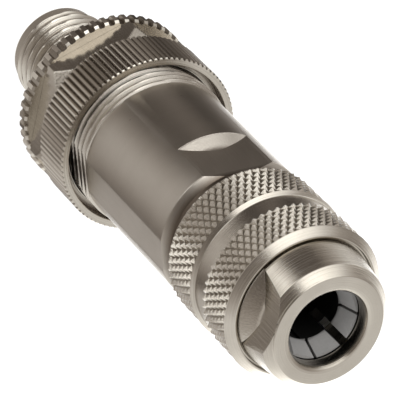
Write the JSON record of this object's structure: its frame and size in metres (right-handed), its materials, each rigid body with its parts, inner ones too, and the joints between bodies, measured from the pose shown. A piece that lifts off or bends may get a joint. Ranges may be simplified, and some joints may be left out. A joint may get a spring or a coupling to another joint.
{
  "type": "circular connector",
  "caption": "Straight M12 cable connector with pin contacts: threaded coupling screw, hexagon and knurled housing, knurled grip nut and a clamping cable entry.",
  "frame": {"origin": "on the main axis, in the plane of the threaded tip that the connector stands on", "axes": "+Z along the main axis from the threaded tip to the cable entry; +Y through the coding rib"},
  "size_m": [0.0222, 0.0222, 0.067],
  "materials": {
    "nickel_turned": "turned brass with nickel plating, semi-gloss",
    "nickel_satin": "finely brushed brass with nickel plating",
    "nickel_bright": "bright nickel plating on turned brass",
    "spring_steel": "bare spring steel",
    "screw_steel": "zinc-plated steel",
    "bare_brass": "bare turned brass",
    "gold_contact": "thin gold plating",
    "insulator": "black moulded polyamide",
    "grey_plastic": "grey moulded polyamide",
    "slip_plastic": "natural low-friction plastic",
    "seal_rubber": "black nitrile rubber"
  },
  "bodies": {
    "housing": {"snap_ring": "spring_steel", "front_housing": "nickel_turned", "contact_carrier": "insulator", "terminal_block": "insulator", "terminal_screws": "screw_steel", "carrier_seal": "seal_rubber", "housing_seal": "seal_rubber", "body_sleeve": "nickel_satin", "grip_seal": "seal_rubber", "shield_cone": "bare_brass", "shield_ring": "bare_brass", "sealing_grommet": "seal_rubber", "clamping_cage": "grey_plastic", "grip_nut": "nickel_turned", "contact_pin_1": "gold_contact", "contact_pin_2": "gold_contact", "contact_pin_3": "gold_contact", "contact_pin_4": "gold_contact"},
    "coupling": {"coupling_screw": "nickel_turned"},
    "slip_ring": {"thrust_ring": "slip_plastic"},
    "clamp_nut": {"pressing_nut": "nickel_bright"}
  },
  "joints": [
    {"name": "coupling_spin", "type": "hinge", "parent": "housing", "child": "coupling", "pos_m": [0, 0, 0.0136], "axis": [0, 0, 1], "continuous": true},
    {"name": "nut_travel", "type": "slide", "parent": "housing", "child": "slip_ring", "axis": [0, 0, 1], "range_m": [0, 0.0025]},
    {"name": "nut_turn", "type": "hinge", "parent": "slip_ring", "child": "clamp_nut", "pos_m": [0, 0, 0.0614], "axis": [0, 0, 1], "range_deg": [0, 900]}
  ],
  "couplings": [
    {"joint": "nut_travel", "follows": "nut_turn", "m_per_rad": 0.00015915}
  ]
}
